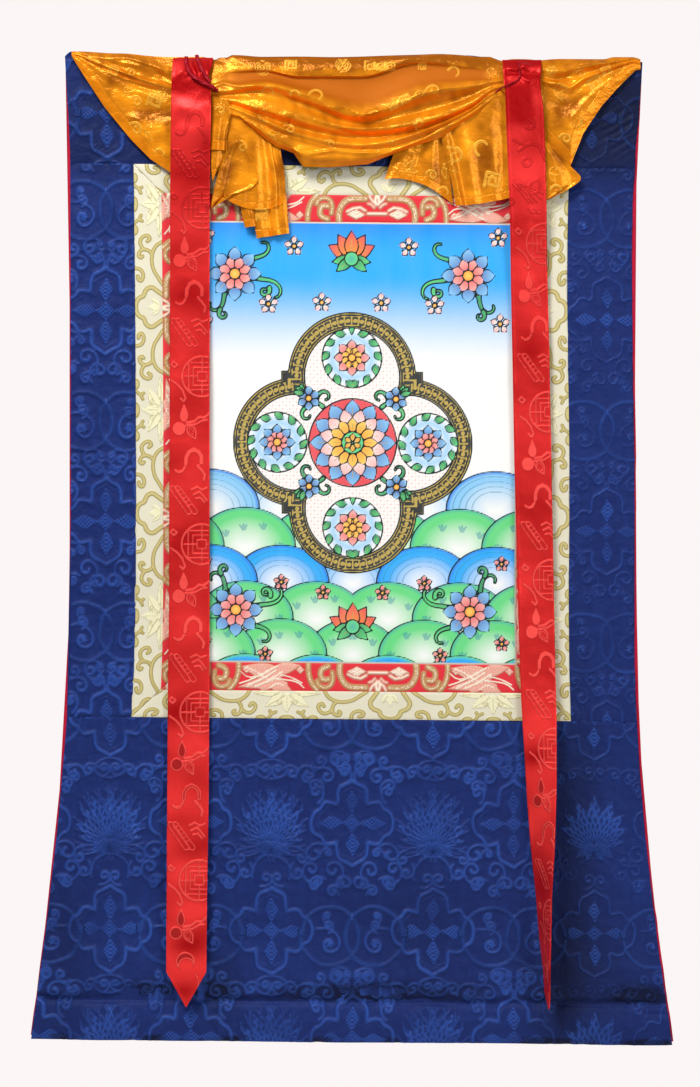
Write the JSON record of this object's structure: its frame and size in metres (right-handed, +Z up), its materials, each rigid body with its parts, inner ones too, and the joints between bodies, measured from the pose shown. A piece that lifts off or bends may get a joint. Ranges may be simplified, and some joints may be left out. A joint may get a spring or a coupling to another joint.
{
  "type": "hanging scroll painting in a brocade mount",
  "caption": "Painted cloth panel in mitred brocade borders on a flared blue mount, with a gathered silk veil, pointed ribbon streamers and tie cords, hung from its top edge.",
  "frame": {"origin": "middle of the top edge, on the plane that the held edge hangs in", "axes": "+Z up along the height, +X to the right seen from the front, the front faces -Y"},
  "size_m": [0.6446, 0.048, 0.9945],
  "materials": {
    "blue_brocade": "woven self-coloured damask",
    "cream_brocade": "woven cream and gold brocade",
    "red_brocade": "woven red and gold brocade",
    "painted_canvas": "matt paint on primed cotton",
    "red_lining": "plain weave",
    "yellow_silk": "glossy damask silk",
    "red_satin": "satin damask",
    "crimson_cord": "twisted cord"
  },
  "bodies": {
    "root": {"panel_top": "blue_brocade", "panel_left": "blue_brocade", "panel_right": "blue_brocade", "panel_bottom": "blue_brocade", "cream_top": "cream_brocade", "cream_right": "cream_brocade", "cream_bottom": "cream_brocade", "cream_left": "cream_brocade", "red_top": "red_brocade", "red_right": "red_brocade", "red_bottom": "red_brocade", "red_left": "red_brocade", "painting": "painted_canvas", "lining": "red_lining", "veil": "yellow_silk", "streamer_left": "red_satin", "streamer_right": "red_satin", "tie_left": "crimson_cord", "tie_right": "crimson_cord"}
  },
  "joints": []
}
